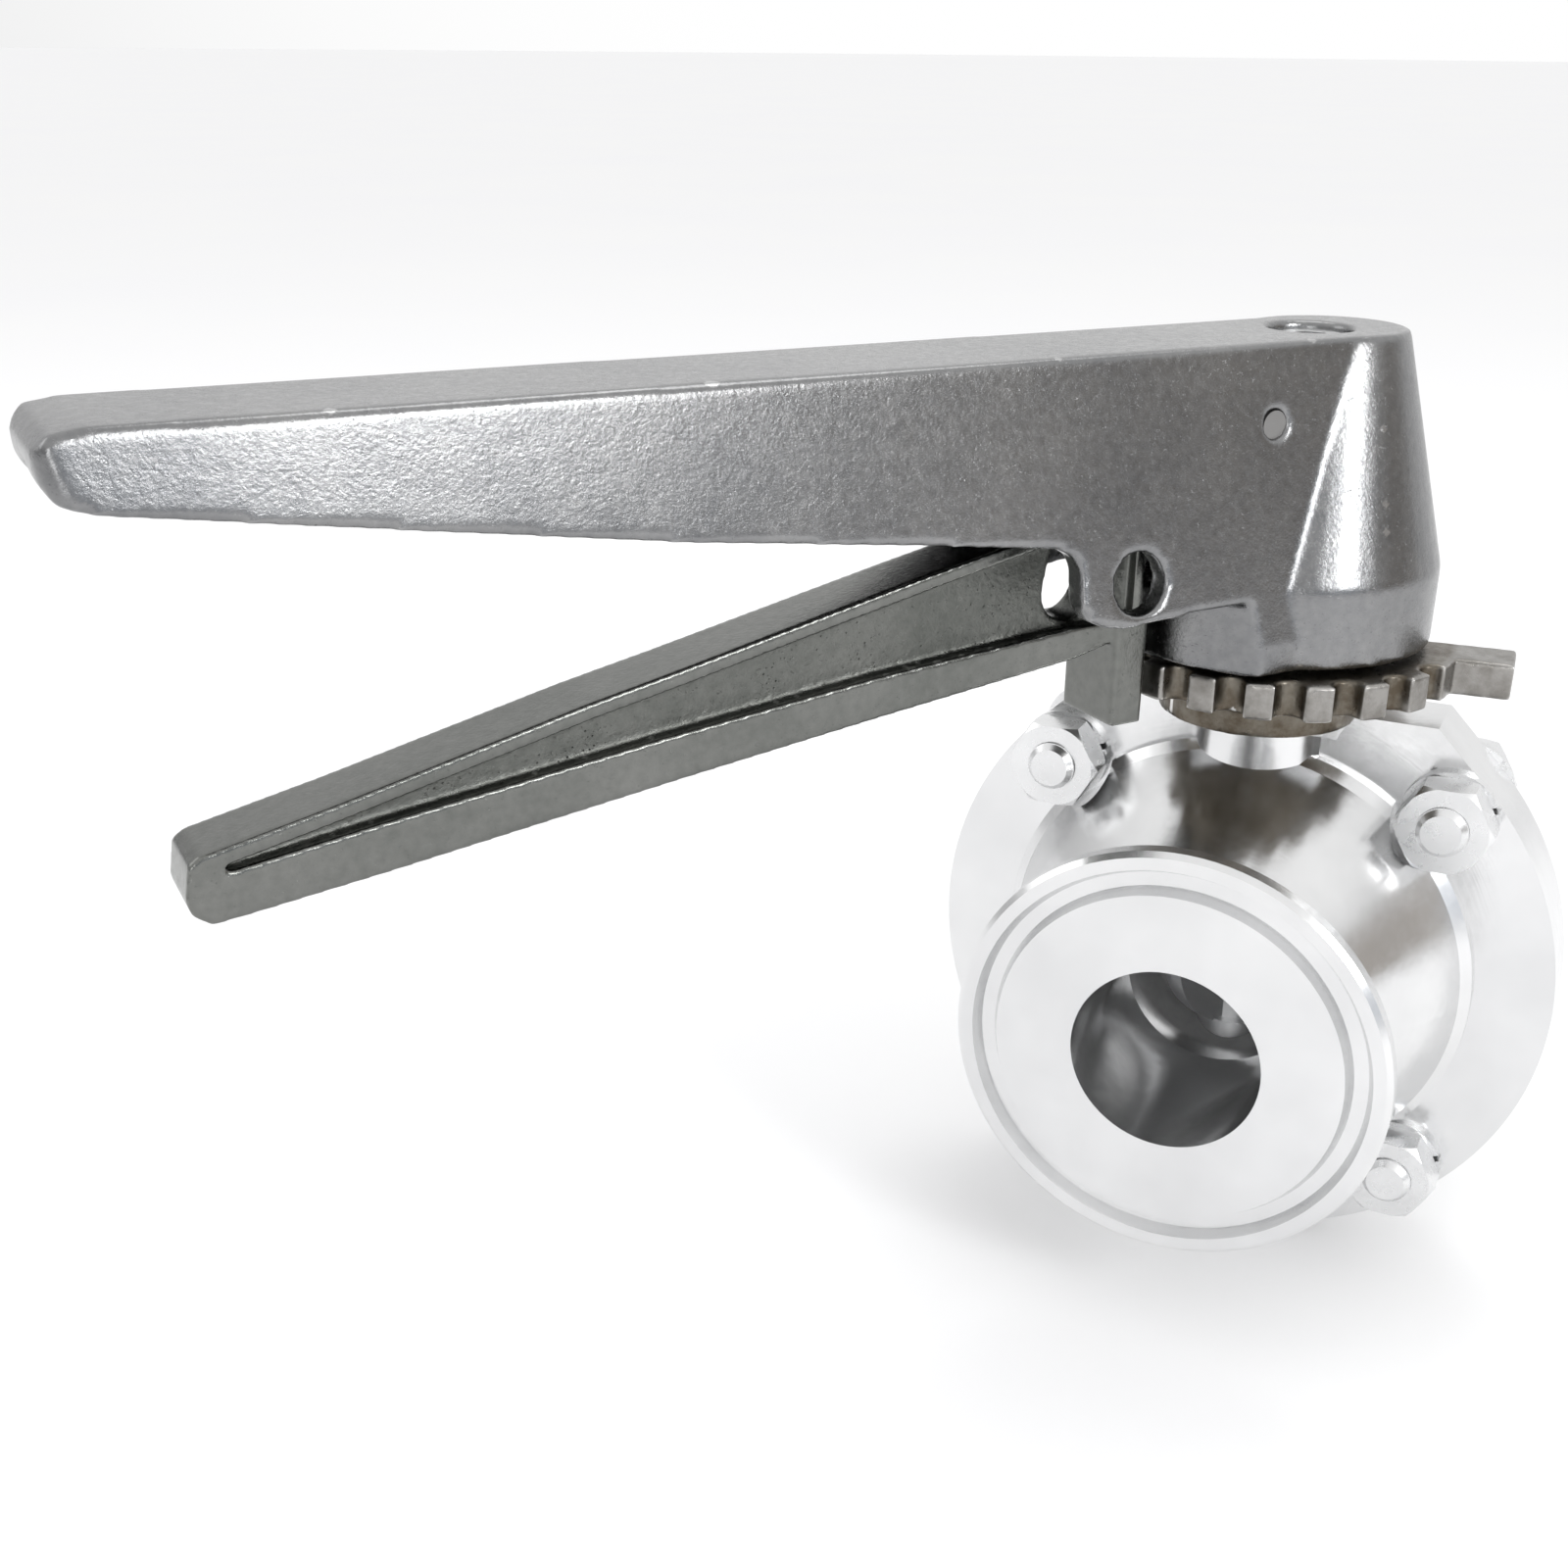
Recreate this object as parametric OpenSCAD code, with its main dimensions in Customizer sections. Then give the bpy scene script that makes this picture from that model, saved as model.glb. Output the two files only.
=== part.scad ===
// Butterfly valve for one inch clamp pipe, with a cast squeeze handle and a
// toothed index plate. Millimetres. +Z runs up the stem, +Y runs along the pipe,
// and the origin is the centre of the inlet ferrule's sealing face.

/* [Pipe ends] */
// Face to face length of the valve
face_to_face = 69; // [64:0.5:76]
// Bore radius of the pipe ends
bore_r = 11.05; // [10.8:0.05:11.3]
// Outer radius of each clamp ferrule
ferrule_r = 25.25; // [25.1:0.05:25.4]
// Depth of the gasket groove in the ferrule face
groove_depth = 1.4; // [1:0.1:1.8]

/* [Body] */
// Outer radius of the body flanges
flange_r = 38.4; // [37.5:0.1:39.5]
// Thickness of one body flange
flange_t = 4.7; // [4.4:0.1:5.2]
// Radius of the cone where it meets the flange
cone_r = 28; // [27:0.1:29]
// Distance of each body bolt from the stem axis and from the pipe axis
bolt_xz = 23.4; // [23:0.1:24]
// Height of the flat pad on top of the body
pad_z = 33.6; // [33.4:0.1:33.8]

/* [Disc and stem] */
// Radius of the disc
disc_r = 10.9; // [10.7:0.05:10.95]
// Thickness of the disc at its hub
disc_t = 7; // [6:0.1:7.5]
// Radius of the stem
stem_r = 4.75; // [4.7:0.05:4.75]
// Width across the flats of the square stem end
stem_square = 7; // [6.8:0.1:7]

/* [Index plate] */
// Radius of the index plate over its teeth
plate_r = 21; // [20.6:0.1:21.2]
// Thickness of the toothed plate
plate_t = 4.2; // [4:0.1:4.4]
// Angle from one notch to the next
notch_pitch = 18; // [18:1:18]
// Radial depth of each notch
notch_depth = 2.1; // [1.8:0.1:2.2]
// Width of each notch
notch_w = 3.3; // [3.1:0.1:3.4]

/* [Handle] */
// Angle of the handle from straight across the pipe
handle_angle = 54; // [54:18:54]
// Length of the handle from the stem axis to the end of the grip
handle_len = 134.5; // [133:0.5:136]
// Thickness of the side walls of the handle
wall_t = 3; // [2.6:0.1:3.2]
// Radius of the padlock hole in the two lugs
lock_hole_r = 3.2; // [3:0.1:3.4]

/* [Trigger] */
// Half width of the trigger over its flanges
trigger_w = 4; // [3.8:0.1:4.2]
// Thickness of the trigger web
web_t = 4.8; // [4.4:0.1:5.2]
// Radius of the trigger's pivot pin
pin_r = 1.5; // [1.5:0.1:1.5]
// Width of the tooth that drops into a notch
tooth_w = 2.5; // [2.3:0.1:2.6]

/* [Hidden] */
$fn = 96;
half_len = face_to_face / 2;
// the plate stands on the pad, the handle turns just above the plate
plate_z = pad_z + 3.2;
plate_top = plate_z + plate_t;
hub_z = plate_top + 0.5;
spigot_z = pad_z + 5;
seat_w = 6.5;
seat_r = 17.5;
// the bore widens a little toward the seat, and the seat narrows to the disc
mouth_r = bore_r + 1.2;
crown_r = disc_r + 0.08;
bush_r = 6.2;
bush_in = stem_r + 0.05;
stem_top = 57;
// pivot pin of the trigger, along the handle and up
pivot_x = 12.3;
pivot_z = 67.9;
roof_z = 72.5;
spring_x = 34.7;
spring_z = 59.9;
head_top = 76;
lock_x = 30.7;
lock_z = 53.6;
// start of the channel, height where the handle's sides turn upright, hub radii
hub_x = 16;
bend_z = 45;
head_r = 17.5;
hub_front_r = 21;
hub_front_z = 49.8;

// moves a piece from the stem axis to the valve's own origin
module at_stem() { translate([0, half_len, 0]) children(); }
// frame of the handle: x runs out along the grip, z up
module at_handle() { at_stem() rotate([0, 0, 180 + handle_angle]) children(); }
// a side profile of x and z, thickened evenly across the handle
module side_plate(pts, w) {
    rotate([90, 0, 0]) linear_extrude(height = w, center = true) polygon(pts);
}
// a cross section of y and z, run out along x
module cross_run(pts, x0, x1) {
    translate([x0, 0, 0]) rotate([90, 0, 90]) linear_extrude(height = x1 - x0) polygon(pts);
}

// ---------------------------------------------------------------- body
function body_profile() = [
    [bore_r, half_len], [20.2, half_len], [20.9, half_len - groove_depth],
    [22.5, half_len - groove_depth], [23.2, half_len], [ferrule_r - 0.6, half_len],
    [ferrule_r, half_len - 0.6], [ferrule_r, half_len - 2.3],
    [17.6, half_len - 5.1], [16.2, half_len - 6.2], [16.2, half_len - 7.6],
    [cone_r, flange_t + 2.1], [cone_r + 1.2, flange_t + 1.1], [cone_r + 1.2, 0],
    [seat_r, 0], [seat_r, seat_w], [mouth_r, seat_w], [bore_r, half_len - 22.5]];

module flange_outline() {
    // the round flange stops at the level of the pad
    difference() {
        circle(r = flange_r, $fn = 128);
        translate([-30, pad_z]) square([60, 10]);
    }
    polygon([[0, 0], [27.15, 27.15], [20.7, pad_z], [-20.7, pad_z], [-27.15, 27.15]]);
}

module half_body() {
    difference() {
        union() {
            rotate([90, 0, 0]) rotate_extrude() polygon(body_profile());
            difference() {
                rotate([90, 0, 0]) linear_extrude(height = flange_t) flange_outline();
                rotate([90, 0, 0]) translate([0, 0, -1]) cylinder(r = cone_r, h = 20);
            }
            // neck round the stem and the keyed spigot for the index plate
            intersection() {
                union() {
                    translate([0, 0, 19]) cylinder(r = 9, h = pad_z - 19);
                    translate([-10, -8, pad_z - 2]) cube([20, 16, spigot_z - pad_z + 2]);
                }
                translate([-30, -30, 10]) cube([60, 30, 60]);
            }
        }
        translate([0, 0, 15]) cylinder(r = bush_r, h = 40);
        translate([0, 0, -26]) cylinder(r = bush_r, h = 12);
        for (sx = [-1, 1], sz = [-1, 1])
            translate([sx * bolt_xz, 5, sz * bolt_xz])
                rotate([90, 0, 0]) cylinder(r = 3.2, h = 20, $fn = 48);
        // spot faces for the washers and nuts at the foot of the cone
        for (sx = [-1, 1], sz = [-1, 1])
            translate([sx * bolt_xz, -flange_t, sz * bolt_xz])
                rotate([90, 0, 0]) cylinder(r = 6.4, h = 8, $fn = 64);
        // keeps the neck out of the seat pocket
        rotate([90, 0, 0]) translate([0, 0, -1]) cylinder(r = seat_r, h = seat_w + 1);
    }
}

module body_front() { color("#dfe1e2") at_stem() half_body(); }
module body_rear() { color("#dfe1e2") at_stem() mirror([0, 1, 0]) half_body(); }

module seat() {
    color("#26272a") at_stem() difference() {
        rotate([90, 0, 0]) rotate_extrude() polygon([
            [crown_r, -2.5], [mouth_r, -seat_w], [seat_r, -seat_w],
            [seat_r, seat_w], [mouth_r, seat_w], [crown_r, 2.5]]);
        cylinder(r = bush_in, h = 60, center = true);
    }
}

// ------------------------------------------------------- disc and stem
module disc_stem() {
    color("#c9ccce") at_stem() rotate([0, 0, handle_angle]) {
        // the disc is a slice of a ball, thin at its rim and thick at its hub
        intersection() {
            sphere(r = disc_r);
            union() {
                cube([30, 3.2, 30], center = true);
                cylinder(r = disc_t / 2, h = 30, center = true);
            }
        }
        difference() {
            union() {
                translate([0, 0, 9.5]) cylinder(r = stem_r, h = hub_z - 9.5);
                intersection() {
                    translate([0, 0, (hub_z + stem_top) / 2])
                        cube([stem_square, stem_square, stem_top - hub_z + 0.4], center = true);
                    cylinder(r = stem_r, h = stem_top);
                }
            }
            for (z = [22, 30])
                translate([0, 0, z]) difference() {
                    cylinder(r = 6, h = 1.6);
                    translate([0, 0, -1]) cylinder(r = 3.45, h = 4);
                }
            translate([0, 0, 45]) cylinder(r = 2.52, h = 20, $fn = 48);
        }
        difference() {
            translate([0, 0, -24.5]) cylinder(r = stem_r, h = 15);
            translate([0, 0, -20.6]) difference() {
                cylinder(r = 6, h = 1.6);
                translate([0, 0, -1]) cylinder(r = 3.45, h = 4);
            }
        }
    }
}

module bush(z0, z1) {
    at_stem() difference() {
        translate([0, 0, z0]) cylinder(r = bush_r, h = z1 - z0);
        translate([0, 0, z0 - 1]) cylinder(r = bush_in, h = z1 - z0 + 2);
    }
}
module upper_bush() { color("#e9e4d6") bush(17.6, spigot_z); }
module lower_bush() { color("#e9e4d6") bush(-25.9, -17.6); }

module stem_ring(z) {
    at_stem() translate([0, 0, z]) rotate_extrude()
        translate([4.12, 0]) circle(r = 0.65, $fn = 24);
}
module upper_o_rings() { color("#1d1d1f") for (z = [22.8, 30.8]) stem_ring(z); }
module lower_o_ring() { color("#1d1d1f") stem_ring(-19.8); }

// ------------------------------------------------------- body fasteners
module at_bolts() {
    for (sx = [-1, 1], sz = [-1, 1])
        at_stem() translate([sx * bolt_xz, 0, sz * bolt_xz]) rotate([90, 0, 0]) children();
}
// along each bolt, z runs toward the inlet
module body_bolts() {
    color("#c4c7c9") at_bolts() {
        translate([0, 0, -flange_t - 5]) intersection() {
            cylinder(r = 5.77, h = 4, $fn = 6);
            cylinder(r1 = 5.1, r2 = 9.1, h = 4);
        }
        translate([0, 0, -flange_t - 2]) cylinder(r = 3, h = 2 * flange_t + 7.9, $fn = 48);
        translate([0, 0, flange_t + 5.8]) cylinder(r1 = 3, r2 = 2.3, h = 0.8, $fn = 48);
    }
}
module ring(ri, ro, h) {
    difference() {
        cylinder(r = ro, h = h, $fn = 64);
        translate([0, 0, -1]) cylinder(r = ri, h = h + 2, $fn = 64);
    }
}
module bolt_washers() {
    color("#b9bcbe") at_bolts() translate([0, 0, -flange_t - 1]) ring(3.1, 6, 1);
}
// split spring washers
module nut_washers() {
    color("#b9bcbe") at_bolts() translate([0, 0, flange_t]) difference() {
        ring(3.1, 5.6, 1);
        rotate([0, 0, 20]) translate([2, -0.4, -1]) cube([5, 0.8, 4]);
    }
}
module body_nuts() {
    color("#c4c7c9") at_bolts() translate([0, 0, flange_t + 1]) difference() {
        intersection() {
            cylinder(r = 5.77, h = 4.6, $fn = 6);
            cylinder(r1 = 9.7, r2 = 5.1, h = 4.6);
            cylinder(r1 = 5.1, r2 = 9.7, h = 4.6);
        }
        translate([0, 0, -1]) cylinder(r = 3.02, h = 8, $fn = 48);
    }
}

// --------------------------------------------------------- index plate
module index_plate() {
    color("#8d8a84") at_stem() difference() {
        union() {
            intersection() {
                translate([0, 0, plate_z]) cylinder(r = plate_r, h = plate_t);
                union() {
                    translate([-30, -30, 0]) cube([60, 33, 60]);
                    cylinder(r = 17, h = 60);
                }
            }
            // stop fingers at the two ends of the teeth
            for (a = [5, 156]) rotate([0, 0, a]) translate([12, -3.3, plate_z])
                cube([15.2, 6.6, plate_t]);
            // lower collar, rounded at both ends
            for (s = [-1, 1]) translate([0, s * 6, pad_z]) cylinder(r = 11.5, h = 3.6);
            translate([-11.5, -6, pad_z]) cube([23, 12, 3.6]);
        }
        // notches for the trigger tooth, closed at 180 degrees and open at 270
        for (i = [0 : 9]) rotate([0, 0, 180 + i * notch_pitch]) {
            translate([plate_r - notch_depth + notch_w / 2, 0, plate_z - 1])
                cylinder(r = notch_w / 2, h = plate_t + 2, $fn = 32);
            translate([plate_r - notch_depth + notch_w / 2, -notch_w / 2, plate_z - 1])
                cube([6, notch_w, plate_t + 2]);
        }
        translate([-10.05, -8.05, pad_z - 1]) cube([20.1, 16.1, spigot_z - pad_z + 1.1]);
        translate([0, 0, pad_z]) cylinder(r = 6.6, h = 20);
    }
}
// slides on the plate under the handle
module thrust_washer() {
    color("#e9e4d6") at_stem() translate([0, 0, plate_top]) ring(6.6, 12, 0.4);
}

// -------------------------------------------------------------- handle
// half width of the handle's sloping side at height z
function side_w(z) = 8.4 + (head_top - max(z, bend_z)) * 0.2;
function arm_profile() = [
    [-5, head_top], [50, head_top + 0.4], [handle_len - 4.2, head_top + 1.1],
    [handle_len - 1.4, head_top + 0.7], [handle_len, head_top - 0.8],
    [handle_len - 0.1, 73], [handle_len - 1.2, 71.2], [handle_len - 4, 70.4],
    [107.7, 67], [81, 63.1], [55, 60], [40.5, 58.1], [38.6, 57.1], [38, 55.6],
    [38.2, 52.2], [37.3, 50.6], [35.3, 49.6], [32.8, 49.2], [hub_front_r, hub_front_z],
    [hub_front_r, hub_z], [-3, hub_z]];
// inside (t > 0) or outside (t = 0) of the two side walls, up to the height top
function wall_section(t, top) = [
    [-side_w(top) + t, top], [-side_w(bend_z) + t, bend_z], [-side_w(bend_z) + t, 40],
    [side_w(bend_z) - t, 40], [side_w(bend_z) - t, bend_z], [side_w(top) - t, top]];

// solid round front of the hub, below the arm
module hub_front() {
    translate([0, 0, hub_z - 1]) cylinder(r = hub_front_r, h = hub_front_z - hub_z + 1);
}
module handle_outside() {
    difference() {
        intersection() {
            side_plate(arm_profile(), 60);
            cross_run(wall_section(0, 78), -30, 150);
        }
        difference() {
            translate([0, -20, hub_z - 1]) cube([25, 40, hub_front_z - hub_z + 1]);
            hub_front();
        }
    }
    // rounded back of the head, leaning in toward the top
    hull() {
        translate([-2.5, 0, head_top - 0.2]) cylinder(r = 9, h = 0.2, $fn = 48);
        translate([0, 0, 50.4]) cylinder(r = head_r, h = 0.2, $fn = 48);
    }
    // upright hub below it
    intersection() {
        translate([0, 0, hub_z]) cylinder(r = head_r, h = 50.6 - hub_z);
        translate([-20, -20, hub_z]) cube([31, 40, 12]);
    }
}
// takes the two corners off the end of the grip, seen from above
module grip_corners() {
    for (s = [-1, 1]) difference() {
        translate([handle_len - 3.2, s * 11.1 - 5, 60]) cube([10, 10, 25]);
        translate([handle_len - 3.2, s * 6.1, 50]) cylinder(r = 3.2, h = 40, $fn = 48);
    }
}

module handle() {
    color("#7c7f82") at_handle() difference() {
        union() {
            difference() {
                handle_outside();
                // channel under the arm
                difference() {
                    cross_run(wall_section(wall_t, roof_z), hub_x, handle_len - 3.6);
                    hub_front();
                }
                // room for the trigger's fork inside the head
                translate([7.8, -7.3, stem_top]) cube([18.2, 14.6, roof_z - stem_top]);
                grip_corners();
                // arch under the end of the grip
                translate([handle_len - 5, 0, 66.6]) rotate([0, 90, 0])
                    cylinder(r = 6.6, h = 8, $fn = 64);
            }
            // core that carries the handle screw and the pin between the fork's arms
            translate([-6, -5, stem_top - 1]) cube([21.8, 10, roof_z - stem_top + 2]);
            // spring seat under the roof
            translate([spring_x, 0, roof_z - 2]) cylinder(r = 2, h = 3, $fn = 48);
        }
        translate([-stem_square / 2 - 0.03, -stem_square / 2 - 0.03, 30])
            cube([stem_square + 0.06, stem_square + 0.06, stem_top - 29.9]);
        cylinder(r = 2.7, h = 90, $fn = 48);
        translate([0, 0, 70.2]) cylinder(r = 4.7, h = 10);
        // pin bore through both walls and the core
        translate([pivot_x, 0, pivot_z]) rotate([90, 0, 0])
            cylinder(r = pin_r, h = 60, center = true, $fn = 48);
        // padlock hole through both lugs
        translate([lock_x, 0, lock_z]) rotate([90, 0, 0])
            cylinder(r = lock_hole_r, h = 60, center = true, $fn = 64);
    }
}

// socket head screw that clamps the handle to the stem
module handle_screw() {
    color("#b4b7b9") at_handle() difference() {
        union() {
            translate([0, 0, 46]) cylinder(r = 2.5, h = 26, $fn = 48);
            translate([0, 0, 71.2]) cylinder(r = 4.25, h = 3.6, $fn = 64);
            translate([0, 0, 74.8]) cylinder(r1 = 4.25, r2 = 3.85, h = 0.4, $fn = 64);
        }
        translate([0, 0, 72.6]) cylinder(r = 2.31, h = 4, $fn = 6);
    }
}
module screw_washer() {
    color("#a9acae") at_handle() translate([0, 0, 70.2]) difference() {
        ring(2.6, 4.4, 1);
        translate([2, -0.4, -1]) cube([5, 0.8, 4]);
    }
}

// ------------------------------------------------------------- trigger
function trigger_profile() = [
    [125.9, 38.4], [112.8, 41.2], [88.9, 46.8], [78.7, 48.9], [51.9, 54.7], [36, 58],
    [23.2, 61], [23.2, 46.5], [26.3, 44.6], [32.1, 43.2], [56.7, 40.3], [79, 37.5],
    [109.2, 33.5], [122.5, 31.9], [125.6, 31.6], [127.2, 32.8], [127.6, 34.2], [127, 37.6]];
function web_pocket() = [
    [124.2, 37], [112.4, 39.6], [88.5, 45.2], [78.3, 47.3], [51.5, 53.1], [35.7, 56.4],
    [24.6, 58.9], [24.6, 47.3], [33, 46.8], [57.2, 44.8], [79.8, 42.3], [109.6, 38.5],
    [123.4, 36.5], [124.2, 36.6]];

module fork_arm(s) {
    translate([0, s * 6.1, 0]) {
        side_plate([[23, 60.7], [30.8, 57.9], [30.8, 61.4], [14.1, 71.5], [10.4, 64.4]], 1.8);
        translate([pivot_x, 0, pivot_z]) rotate([90, 0, 0])
            cylinder(r = 4, h = 1.8, center = true, $fn = 64);
    }
}

module trigger() {
    color("#6b6d6b") at_handle() difference() {
        union() {
            difference() {
                side_plate(trigger_profile(), 2 * trigger_w);
                for (s = [-1, 1]) translate([0, s * (web_t / 2 + 10), 0])
                    side_plate(web_pocket(), 20);
            }
            // cross piece that joins the two arms of the fork
            translate([23.8, -7, 57.2]) cube([7, 14, 3.4]);
            for (s = [-1, 1]) fork_arm(s);
            // block under the trigger and the tooth on its inner face
            translate([plate_r + 1.9, -4.7, 34.8]) cube([4.2, 9.4, 12]);
            translate([plate_r + 0.25, -tooth_w / 2, 35.4]) cube([3, tooth_w, 5.9]);
        }
        // slot in the web that lines up with the lugs when the tooth is home
        for (p = [[32.3, 50.7], [31.5, 54.7]]) translate([p[0], 0, p[1]])
            rotate([90, 0, 0]) cylinder(r = lock_hole_r + 0.2, h = 40, center = true, $fn = 64);
        translate([31.9, 0, 52.7]) rotate([0, -11.3, 0])
            cube([2 * lock_hole_r + 0.4, 40, 4.08], center = true);
        // pin bore
        translate([pivot_x, 0, pivot_z]) rotate([90, 0, 0])
            cylinder(r = pin_r + 0.05, h = 60, center = true, $fn = 48);
    }
}

module trigger_pin() {
    color("#b4b7b9") at_handle() translate([pivot_x, 0, pivot_z]) rotate([90, 0, 0])
        cylinder(r = pin_r, h = 2 * side_w(pivot_z) - 0.6, center = true, $fn = 48);
}

// coil spring between the handle roof and the trigger
module trigger_spring() {
    color("#9a9da0") at_handle() translate([spring_x, 0, spring_z])
        linear_extrude(height = roof_z - spring_z - 0.1, twist = -360 * 5, slices = 100, $fn = 8)
            translate([3, 0]) circle(r = 0.55, $fn = 8);
}

body_front();
body_rear();
seat();
disc_stem();
upper_bush();
lower_bush();
upper_o_rings();
lower_o_ring();
body_bolts();
bolt_washers();
nut_washers();
body_nuts();
index_plate();
thrust_washer();
handle();
handle_screw();
screw_washer();
trigger();
trigger_pin();
trigger_spring();
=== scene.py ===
"""Looks of the one inch clamp-end butterfly valve: materials, cast surfaces, light and camera.

Metres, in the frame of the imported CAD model: origin on the inlet ferrule's face, +Y along
the pipe, +Z up the stem. The handle turns about the stem. A name that ends in _mm holds
millimetres, and colours are linear red, green and blue.
"""

import math

import bpy
from mathutils import Matrix, Vector


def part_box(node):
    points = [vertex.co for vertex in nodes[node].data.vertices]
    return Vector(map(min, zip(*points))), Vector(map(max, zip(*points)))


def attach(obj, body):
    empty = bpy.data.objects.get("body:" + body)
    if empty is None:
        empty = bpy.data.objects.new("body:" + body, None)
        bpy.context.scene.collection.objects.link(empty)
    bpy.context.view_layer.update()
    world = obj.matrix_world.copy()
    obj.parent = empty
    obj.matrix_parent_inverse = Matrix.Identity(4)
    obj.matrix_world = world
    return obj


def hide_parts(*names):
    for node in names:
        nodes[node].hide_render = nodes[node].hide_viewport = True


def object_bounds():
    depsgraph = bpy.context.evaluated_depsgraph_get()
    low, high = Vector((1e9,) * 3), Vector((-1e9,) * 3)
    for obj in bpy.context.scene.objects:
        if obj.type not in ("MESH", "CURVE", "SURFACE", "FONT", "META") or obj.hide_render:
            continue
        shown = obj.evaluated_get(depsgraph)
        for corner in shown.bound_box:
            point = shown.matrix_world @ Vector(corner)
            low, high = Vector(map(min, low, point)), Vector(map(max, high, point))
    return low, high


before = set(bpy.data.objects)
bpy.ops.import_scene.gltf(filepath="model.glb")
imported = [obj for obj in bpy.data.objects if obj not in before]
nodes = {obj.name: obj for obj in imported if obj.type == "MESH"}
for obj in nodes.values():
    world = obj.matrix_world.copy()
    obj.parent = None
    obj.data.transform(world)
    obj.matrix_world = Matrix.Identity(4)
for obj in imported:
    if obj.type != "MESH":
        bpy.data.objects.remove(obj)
cad_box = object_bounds()

MM = 0.001

# the stem's axis, and the handle's own directions at rest
screw_low, screw_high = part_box("handle_screw")
STEM = Vector((0, 0.5 * (screw_low[1] + screw_high[1]), 0))
HANDLE_YAW = math.radians(234)
GRIP_DIR = Vector((math.cos(HANDLE_YAW), math.sin(HANDLE_YAW), 0))
SIDE_DIR = Vector((-GRIP_DIR.y, GRIP_DIR.x, 0))


def rgb(r, g, b):
    return (r, g, b, 1.0)


def scaled(colour, factor):
    return rgb(*[v * factor for v in colour])


def heading(azimuth, elevation):
    """The direction at an azimuth from +X and an elevation, both in degrees."""
    a, e = math.radians(azimuth), math.radians(elevation)
    return Vector((math.cos(e) * math.cos(a), math.cos(e) * math.sin(a), math.sin(e)))


# ------------------------------------------------------------------ node helpers
# the colour sockets of a Mix node
MIX_A, MIX_B, MIX_RESULT = 6, 7, 2


class Tree:
    """Makes the nodes of one node tree and links them."""

    def __init__(self, tree):
        self.tree = tree
        self.tree.nodes.clear()

    def node(self, kind, **settings):
        made = self.tree.nodes.new(kind)
        for key, value in settings.items():
            setattr(made, key, value)
        return made

    def put(self, socket, value):
        """Links an output to the input socket, or sets the socket to a plain value."""
        if isinstance(value, bpy.types.NodeSocket):
            self.tree.links.new(value, socket)
        else:
            socket.default_value = value

    def remap(self, value, start, end, low=0.0, high=1.0, curve="LINEAR"):
        """Takes start..end to low..high, and holds it there outside."""
        n = self.node("ShaderNodeMapRange", clamp=True, interpolation_type=curve)
        ends = {"From Min": start, "From Max": end, "To Min": low, "To Max": high}
        for key, number in ends.items():
            n.inputs[key].default_value = number
        self.put(n.inputs["Value"], value)
        return n.outputs["Result"]

    def mix(self, fac, a, b):
        n = self.node("ShaderNodeMix", data_type="RGBA")
        self.put(n.inputs["Factor"], fac)
        self.put(n.inputs[MIX_A], a)
        self.put(n.inputs[MIX_B], b)
        return n.outputs[MIX_RESULT]


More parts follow.
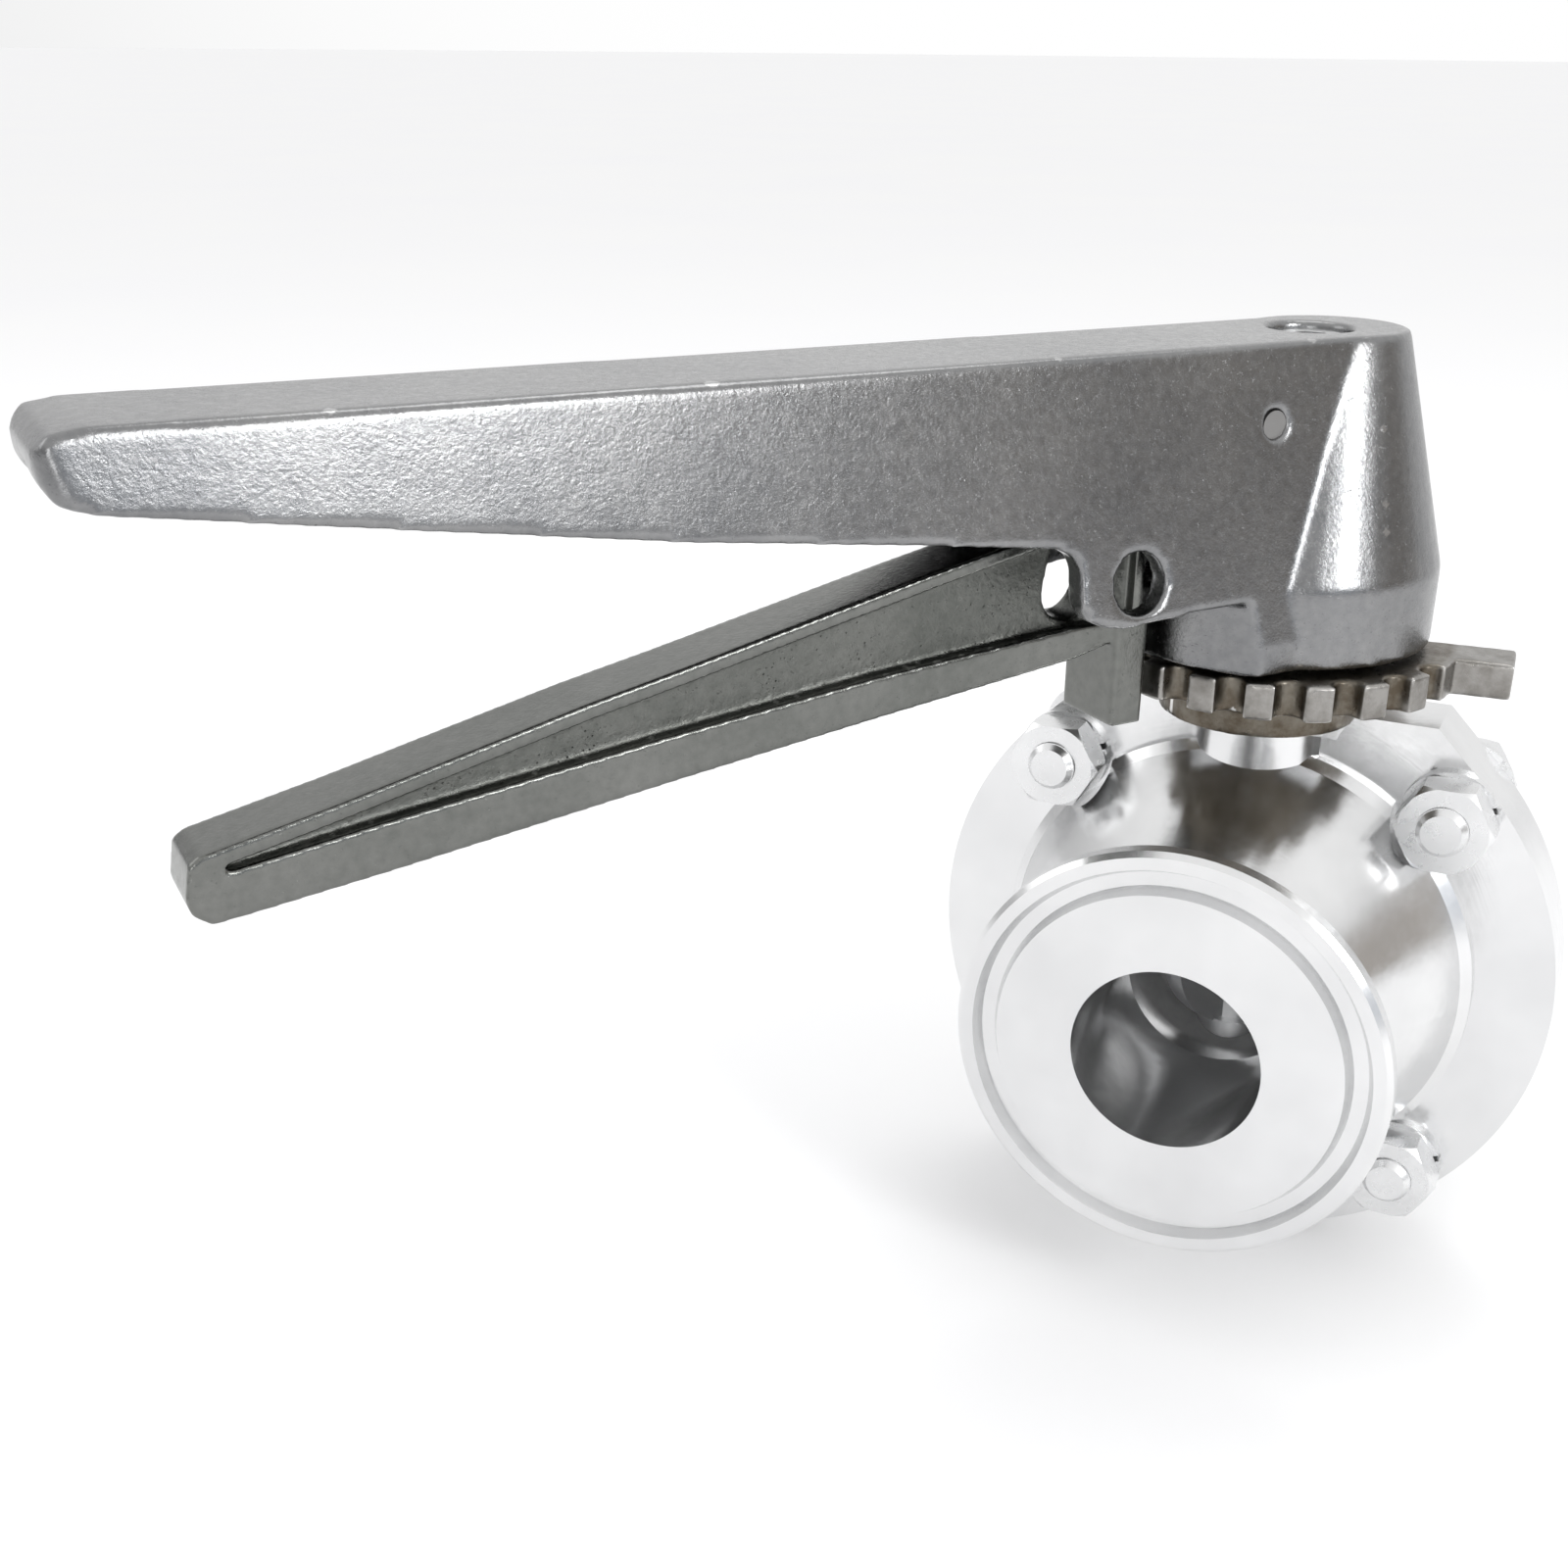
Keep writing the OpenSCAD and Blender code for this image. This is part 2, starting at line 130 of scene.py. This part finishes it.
class Surface(Tree):
    """A material on one principled shader, patterned by noise in the object's own space."""

    def __init__(self, name):
        self.material = bpy.data.materials.new(name)
        self.material.use_nodes = True
        super().__init__(self.material.node_tree)
        self.shader = self.node("ShaderNodeBsdfPrincipled")
        output = self.node("ShaderNodeOutputMaterial")
        self.put(output.inputs["Surface"], self.shader.outputs["BSDF"])
        self.coord = self.node("ShaderNodeTexCoord").outputs["Object"]

    def give(self, name, value):
        self.put(self.shader.inputs[name], value)

    def noise(self, scale_mm, detail=4.0, rough=0.55, vector=None):
        n = self.node("ShaderNodeTexNoise")
        n.inputs["Scale"].default_value = 1.0 / (scale_mm * MM)
        n.inputs["Detail"].default_value = detail
        n.inputs["Roughness"].default_value = rough
        self.put(n.inputs["Vector"], vector or self.coord)
        return n.outputs["Fac"]

    def cells(self, scale_mm):
        """Distance from the nearest of many scattered points."""
        n = self.node("ShaderNodeTexVoronoi")
        n.inputs["Scale"].default_value = 1.0 / (scale_mm * MM)
        self.put(n.inputs["Vector"], self.coord)
        return n.outputs["Distance"]

    def lie(self, stretch, turn_y, turn_z):
        """Coordinates turned and squeezed, so that a pattern on them lies in long streaks."""
        n = self.node("ShaderNodeMapping")
        n.inputs["Rotation"].default_value = (0, turn_y, turn_z)
        n.inputs["Scale"].default_value = (stretch, 1, 1)
        self.put(n.inputs["Vector"], self.coord)
        return n.outputs["Vector"]

    # a mask for the painted highlight on sharp outside edges
    def edge_highlight_mask(self, start, end):
        """Rises from flat faces to sharp outside edges."""
        return self.remap(self.node("ShaderNodeNewGeometry").outputs["Pointiness"], start, end)

    def math(self, operation, *values):
        n = self.node("ShaderNodeMath", operation=operation)
        for socket, value in zip(n.inputs, values):
            self.put(socket, value)
        return n.outputs[0]

    def total(self, *terms):
        """Adds up outputs, each given with its weight."""
        parts = [self.math("MULTIPLY", value, weight) for value, weight in terms]
        result = parts[0]
        for part in parts[1:]:
            result = self.math("ADD", result, part)
        return result

    def radius(self, a, b):
        """Distance from an axis, from the two coordinates square to it."""
        squares = [self.math("MULTIPLY", v, v) for v in (a, b)]
        return self.math("SQRT", self.math("ADD", *squares))

    def place(self):
        n = self.node("ShaderNodeSeparateXYZ")
        self.put(n.inputs[0], self.coord)
        return n.outputs

    def gloss(self, pattern, rough):
        """Roughness between two values; noise keeps mostly within 0.3 to 0.7."""
        self.give("Roughness", self.remap(pattern, 0.3, 0.7, *rough))

    def relief(self, height, depth_mm):
        n = self.node("ShaderNodeBump")
        n.inputs["Distance"].default_value = depth_mm * MM
        n.inputs["Strength"].default_value = 1.0
        self.put(n.inputs["Height"], height)
        self.give("Normal", n.outputs["Normal"])


# --------------------------------------------------------------------- materials
# two sets of tumbling scratches: how each leans, in radians, and how rare it is
SCRATCHES = ((0.5, 0.66), (-0.9, 0.68))
SCRATCH_STRETCH = 0.12
SCRATCH_WIDTH_MM = 0.45
SCRATCH_DEPTH = 0.35


def cast_metal(name, dark, light, edge, rough, grain_mm, depth_mm, pits):
    """Tumbled cast stainless steel: softly clouded, finely pitted, with a painted highlight on
    its sharp edges.

    grain_mm and depth_mm are the size and depth of the cast skin, and pits is how deep and
    dark its pits are, from 0 to 1.
    """
    s = Surface(name)
    cloud = s.noise(scale_mm=22)
    mottle = s.noise(scale_mm=1.2, detail=6, rough=0.6)
    tone = s.remap(s.total((cloud, 0.6), (mottle, 0.4)), 0.30, 0.70)
    colour = s.mix(tone, rgb(*dark), rgb(*light))

    # painted highlight: sharp outside edges take the edge colour in patches, and the same mask
    # makes them a little glossier
    patchy = s.remap(s.noise(scale_mm=3, detail=3), 0.3, 0.6, 0.45, 1.0)
    edge_highlight = s.math("MULTIPLY", s.edge_highlight_mask(0.535, 0.60), patchy)
    colour = s.mix(edge_highlight, colour, rgb(*edge))

    specks = s.remap(s.cells(scale_mm=0.6), 0.0, 0.2, 1.0, 0.0)
    groups = s.remap(s.noise(scale_mm=6, detail=3), 0.46, 0.60)
    pitted = s.math("MULTIPLY", specks, groups)
    colour = s.mix(s.math("MULTIPLY", pitted, pits), colour, scaled(dark, 0.5))
    s.give("Base Color", colour)
    s.give("Metallic", 1.0)

    smear = s.remap(s.noise(scale_mm=0.9, detail=6, rough=0.7), 0.3, 0.7, *rough)
    s.give("Roughness", s.total((smear, 1.0), (edge_highlight, -0.1)))

    skin = s.noise(grain_mm, detail=6, rough=0.62)
    peel = s.noise(grain_mm * 7, detail=3, rough=0.5)
    terms = [(skin, 1.0), (peel, 0.8), (pitted, -pits)]
    for lean, rarity in SCRATCHES:
        along = s.lie(SCRATCH_STRETCH, lean, -HANDLE_YAW)
        lines = s.noise(SCRATCH_WIDTH_MM, detail=3, rough=0.7, vector=along)
        terms.append((s.remap(lines, rarity, rarity + 0.05), -SCRATCH_DEPTH))
    s.relief(s.total(*terms), depth_mm)
    return s.material


def polished_metal(name, dark, light, rough, turned):
    """Bright stainless steel; turned gives it faint lathe lines round the pipe's axis."""
    s = Surface(name)
    cloud = s.remap(s.noise(scale_mm=14), 0.35, 0.65)
    s.give("Base Color", s.mix(cloud, rgb(*dark), rgb(*light)))
    s.give("Metallic", 1.0)
    fine = s.noise(scale_mm=0.8, rough=0.7)
    soft = s.noise(scale_mm=11, detail=3, rough=0.5)
    s.give("Roughness", s.remap(s.total((fine, 0.35), (soft, 0.65)), 0.38, 0.62, *rough))
    terms = [(s.noise(scale_mm=5, detail=2, rough=0.5), 1.0)]
    if turned:
        at = s.place()
        lathe = s.node("ShaderNodeCombineXYZ")
        s.put(lathe.inputs["X"], s.radius(at["X"], at["Z"]))
        s.put(lathe.inputs["Y"], at["Y"])
        terms.append((s.noise(scale_mm=0.35, detail=3, rough=0.7, vector=lathe.outputs[0]), 0.10))
    s.relief(s.total(*terms), depth_mm=0.05)
    return s.material


def fastener_metal(name, base, rough):
    """Plain machined stainless steel, a little dull."""
    s = Surface(name)
    cloud = s.remap(s.noise(scale_mm=6, detail=3, rough=0.5), 0.35, 0.65)
    s.give("Base Color", s.mix(cloud, scaled(base, 0.9), rgb(*base)))
    s.give("Metallic", 1.0)
    s.gloss(s.noise(scale_mm=1.5, rough=0.6), rough)
    s.relief(s.noise(scale_mm=0.7, detail=3, rough=0.5), depth_mm=0.004)
    return s.material


def plate_metal(name, root_mm, tip_mm):
    """Cast index plate: a painted highlight on its sharp edges, and brown stain with painted
    shade in the notches.

    The brown stain and painted shade are full at root_mm from the stem and gone at tip_mm.
    """
    s = Surface(name)
    stain = s.remap(s.noise(scale_mm=3.0, detail=5, rough=0.65), 0.38, 0.62)
    at = s.place()
    from_stem = s.radius(at["X"], s.math("SUBTRACT", at["Y"], STEM.y))
    outward = s.remap(from_stem, root_mm * MM, tip_mm * MM)
    # brown stain together with painted shade in the notches between the teeth
    deep = s.mix(stain, rgb(0.095, 0.078, 0.058), rgb(0.17, 0.155, 0.13))
    face = s.mix(stain, rgb(0.21, 0.20, 0.185), rgb(0.31, 0.30, 0.285))
    colour = s.mix(outward, deep, face)
    # painted highlight on the sharp edges of the teeth
    s.give("Base Color", s.mix(s.edge_highlight_mask(0.53, 0.62), colour, rgb(0.78, 0.77, 0.75)))
    s.give("Metallic", 1.0)
    s.gloss(s.noise(scale_mm=1.2, detail=5, rough=0.7), (0.24, 0.42))
    s.relief(s.noise(scale_mm=0.6, detail=5, rough=0.6), depth_mm=0.05)
    return s.material


def moulded(name, dark, light, rough, cloud_mm, cloud_ends, grain_mm, glow=0.0):
    """A moulded rubber or plastic; glow is how much light it lets in under its skin."""
    s = Surface(name)
    cloud = s.remap(s.noise(cloud_mm, rough=0.6), *cloud_ends)
    s.give("Base Color", s.mix(cloud, rgb(*dark), rgb(*light)))
    s.give("Subsurface Weight", glow)
    s.gloss(s.noise(scale_mm=1.5, detail=3), rough)
    s.relief(s.noise(grain_mm, detail=3), depth_mm=0.02)
    return s.material


def matt_white(name, value):
    """A floor that is almost even; value is how much light it gives back, from 0 to 1."""
    s = Surface(name)
    cloud = s.remap(s.noise(scale_mm=200, detail=2), 0.3, 0.7)
    plain, shaded = rgb(value, value, value), rgb(value * 0.99, value * 0.99, value)
    s.give("Base Color", s.mix(cloud, plain, shaded))
    s.give("Roughness", 0.9)
    s.give("Specular IOR Level", 0.1)
    return s.material


BODY = polished_metal(
    "polished_steel", dark=(0.71, 0.712, 0.715), light=(0.78, 0.782, 0.784),
    rough=(0.15, 0.26), turned=True)
DISC = polished_metal(
    "disc_steel", dark=(0.74, 0.745, 0.75), light=(0.82, 0.825, 0.83),
    rough=(0.42, 0.52), turned=False)
FASTENER = fastener_metal("fastener_steel", (0.80, 0.803, 0.806), rough=(0.24, 0.34))
PIN = fastener_metal("pin_steel", (0.27, 0.267, 0.263), rough=(0.28, 0.4))
PLATE = plate_metal("plate_steel", root_mm=19.9, tip_mm=20.8)
# edge is the colour of each casting's painted highlight on its sharp edges
HANDLE = cast_metal(
    "cast_steel", dark=(0.175, 0.178, 0.184), light=(0.29, 0.29, 0.289),
    edge=(0.46, 0.46, 0.46), rough=(0.17, 0.30), grain_mm=0.42, depth_mm=0.034, pits=0.5)
TRIGGER = cast_metal(
    "trigger_steel", dark=(0.115, 0.12, 0.112), light=(0.20, 0.202, 0.192),
    edge=(0.50, 0.50, 0.49), rough=(0.15, 0.27), grain_mm=0.42, depth_mm=0.03, pits=0.5)
RECESS = cast_metal(
    "trigger_recess", dark=(0.095, 0.10, 0.092), light=(0.18, 0.183, 0.172),
    edge=(0.3, 0.3, 0.29), rough=(0.24, 0.40), grain_mm=0.6, depth_mm=0.12, pits=0.9)
RUBBER = moulded(
    "seat_rubber", dark=(0.24, 0.24, 0.242), light=(0.31, 0.31, 0.312),
    rough=(0.42, 0.6), cloud_mm=4, cloud_ends=(0.4, 0.7), grain_mm=0.3)
PLASTIC = moulded(
    "bush_plastic", dark=(0.66, 0.63, 0.55), light=(0.78, 0.755, 0.68),
    rough=(0.36, 0.5), cloud_mm=5, cloud_ends=(0.35, 0.65), grain_mm=0.4, glow=0.05)

LOOK = {
    "body_front": BODY, "body_rear": BODY, "seat": RUBBER, "disc_stem": DISC,
    "upper_bush": PLASTIC, "lower_bush": PLASTIC, "upper_o_rings": RUBBER,
    "lower_o_ring": RUBBER, "body_bolts": FASTENER, "bolt_washers": FASTENER,
    "nut_washers": FASTENER, "body_nuts": FASTENER, "index_plate": PLATE,
    "thrust_washer": PLASTIC, "handle": HANDLE, "handle_screw": FASTENER,
    "screw_washer": FASTENER, "trigger": TRIGGER, "trigger_pin": PIN,
    "trigger_spring": FASTENER,
}


def dress(obj, material):
    obj.data.materials.clear()
    obj.data.materials.append(material)


for name, material in LOOK.items():
    dress(nodes[name], material)


# ------------------------------------------------------- edges of the machined pieces
# nodes, the width of their rounded edges, and how many facets round each edge
ROUNDED = (
    (("body_front", "body_rear"), 0.35, 3),
    (("body_nuts", "body_bolts", "handle_screw"), 0.2, 2),
)
# facets of a smooth face meet at less than the first angle, edges at more than the second
FACET_ANGLE = math.radians(0.3)
EDGE_ANGLE = math.radians(30)


def soften(obj, width_mm, segments):
    """Rounds the edges of a CAD piece a little, as tumbling or polishing does."""
    flat = obj.modifiers.new("merge_facets", "DECIMATE")
    flat.decimate_type = "DISSOLVE"
    flat.angle_limit = FACET_ANGLE
    bevel = obj.modifiers.new("edge", "BEVEL")
    bevel.width = width_mm * MM
    bevel.segments = segments
    bevel.limit_method = "ANGLE"
    bevel.angle_limit = EDGE_ANGLE
    bevel.harden_normals = True


for names, width_mm, segments in ROUNDED:
    for name in names:
        soften(nodes[name], width_mm, segments)


# ------------------------------------------------------- cast pieces, rounded all over
# the trigger's recess: a little over half its web's thickness, and how far from the stem it
# begins along the grip
WEB_HALF = 2.75 * MM
RECESS_START = 24 * MM
# how squarely a face has to look sideways to be one of the web's faces
SIDEWAYS = 0.6
# points of the CAD mesh that lie closer than this, in metres, are one point
WELD_GAP = 1e-6


def cast_copy(node, name, voxel_mm, rounds, turn=0.0):
    """A finer skin over a CAD node, with every edge rounded as a casting's is."""
    mesh = nodes[node].data.copy()
    obj = bpy.data.objects.new(name, mesh)
    bpy.context.scene.collection.objects.link(obj)
    # the skin is woven square to the piece's own long direction
    mesh.transform(Matrix.Rotation(-turn, 4, "Z"))
    weld = obj.modifiers.new("weld", "WELD")
    weld.merge_threshold = WELD_GAP
    remesh = obj.modifiers.new("skin", "REMESH")
    remesh.mode = "VOXEL"
    remesh.voxel_size = voxel_mm * MM
    smooth = obj.modifiers.new("round", "SMOOTH")
    smooth.factor = 0.5
    smooth.iterations = rounds
    graph = bpy.context.evaluated_depsgraph_get()
    baked = bpy.data.meshes.new_from_object(obj.evaluated_get(graph))
    obj.modifiers.clear()
    obj.data = baked
    baked.name = name
    baked.transform(Matrix.Rotation(turn, 4, "Z"))
    for poly in baked.polygons:
        poly.use_smooth = True
    return obj


def stands_for(obj, node, body):
    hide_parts(node)
    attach(obj, body)


def line_recess(obj, material):
    """Gives the two faces of the trigger's web a second, rougher material."""
    obj.data.materials.append(material)
    for poly in obj.data.polygons:
        from_stem = poly.center - STEM
        on_web = abs(from_stem.dot(SIDE_DIR)) < WEB_HALF
        faces_sideways = abs(poly.normal.dot(SIDE_DIR)) > SIDEWAYS
        if on_web and faces_sideways and from_stem.dot(GRIP_DIR) > RECESS_START:
            poly.material_index = 1


handle_skin = cast_copy("handle", "handle_casting", voxel_mm=0.36, rounds=16, turn=HANDLE_YAW)
dress(handle_skin, HANDLE)
stands_for(handle_skin, "handle", "handle")

trigger_skin = cast_copy("trigger", "trigger_casting", voxel_mm=0.26, rounds=12, turn=HANDLE_YAW)
dress(trigger_skin, TRIGGER)
line_recess(trigger_skin, RECESS)
stands_for(trigger_skin, "trigger", "trigger")

plate_skin = cast_copy("index_plate", "plate_casting", voxel_mm=0.24, rounds=9)
dress(plate_skin, PLATE)
stands_for(plate_skin, "index_plate", "valve")


# ------------------------------------------------------------------ floor and light
# metres, wide enough that the floor's edge is far behind the object in any view
FLOOR_RADIUS = 14
FLOOR_SIDES = 96

floor_z = cad_box[0][2]
bpy.ops.mesh.primitive_circle_add(
    vertices=FLOOR_SIDES, radius=FLOOR_RADIUS, fill_type="NGON", location=(0, 0, floor_z))
floor = bpy.context.object
floor.name = "floor"
dress(floor, matt_white("floor", value=0.95))

# The room has grey walls. Each of these lies over the one before: its direction, the cosines
# of the angles from it at which it begins and is full, and its colour.
WALL_GREY = (0.55, 0.55, 0.555)
ROOM = (
    ((0, 0, 1), 0.1, 0.75, (1.04, 1.04, 1.04)),         # white ceiling
    ((0, 1, 0.2), 0.2, 0.9, (1.0, 1.0, 1.0)),           # white wall behind the valve
    (heading(14, 2), 0.88, 0.98, (0.46, 0.43, 0.40)),   # warm, darker patch on the right
    (heading(326, 4), 0.90, 0.99, (0.74, 0.78, 0.84)),  # cool window in front, on the right
)


class World(Tree):
    """The light of the room, as a colour for each direction of a ray."""

    def __init__(self, name):
        world = bpy.data.worlds.new(name)
        bpy.context.scene.world = world
        world.use_nodes = True
        super().__init__(world.node_tree)
        self.ray = self.node("ShaderNodeTexCoord").outputs["Generated"]

    def toward(self, direction, start, end):
        """Rises from 0 to 1 as the ray turns toward a direction of the room."""
        dot = self.node("ShaderNodeVectorMath", operation="DOT_PRODUCT")
        dot.inputs[1].default_value = direction
        self.put(dot.inputs[0], self.ray)
        return self.remap(dot.outputs["Value"], start, end, curve="SMOOTHSTEP")

    def show(self, colour):
        background = self.node("ShaderNodeBackground")
        self.put(background.inputs["Color"], colour)
        output = self.node("ShaderNodeOutputWorld")
        self.put(output.inputs["Surface"], background.outputs["Background"])


studio = World("studio")
room_light = rgb(*WALL_GREY)
for direction, start, full, colour in ROOM:
    room_light = studio.mix(studio.toward(direction, start, full), room_light, rgb(*colour))
studio.show(room_light)


def softbox(name, azimuth, elevation, distance, width, height, watts):
    """A rectangular light that faces the foot of the stem."""
    lamp = bpy.data.lights.new(name, "AREA")
    lamp.shape = "RECTANGLE"
    lamp.size = width
    lamp.size_y = height
    lamp.energy = watts
    obj = bpy.data.objects.new(name, lamp)
    obj.location = STEM + heading(azimuth, elevation) * distance
    obj.rotation_mode = "QUATERNION"
    obj.rotation_quaternion = (STEM - obj.location).to_track_quat("-Z", "Y")
    bpy.context.scene.collection.objects.link(obj)


softbox("top_softbox", azimuth=100, elevation=70, distance=0.7,
        width=0.35, height=0.3, watts=0.7)
softbox("key_softbox", azimuth=331, elevation=28, distance=0.8,
        width=0.20, height=0.22, watts=2.0)
softbox("left_softbox", azimuth=195, elevation=28, distance=0.8,
        width=0.40, height=0.30, watts=0.45)
softbox("front_softbox", azimuth=282, elevation=13, distance=0.9,
        width=0.26, height=0.24, watts=0.8)

# ---------------------------------------------------------------------------- camera
# The photo joins two views of the object, and this camera is a compromise between them. It is
# rolled a little, as UP says, and its lens is shifted as in the photo.
CAMERA_AT = STEM + Vector((44.25, -216.5, 105.3)) * MM
LOOK_ALONG = Vector((-0.3893, 0.8182, -0.4230)).normalized()
UP = Vector((-0.1904, 0.3778, 0.9061))

right = LOOK_ALONG.cross(UP).normalized()
up = right.cross(LOOK_ALONG)
cam_data = bpy.data.cameras.new("camera")
cam_data.sensor_width = 36
cam_data.lens = 42.75
cam_data.shift_x = -0.0275
cam_data.shift_y = 0.074
cam_data.clip_start = 0.01
cam_data.clip_end = 50
camera = bpy.data.objects.new("camera", cam_data)
bpy.context.scene.collection.objects.link(camera)
camera.location = CAMERA_AT
camera.rotation_euler = Matrix((right, up, -LOOK_ALONG)).transposed().to_euler()
bpy.context.scene.camera = camera
bpy.context.scene.view_settings.view_transform = "Standard"
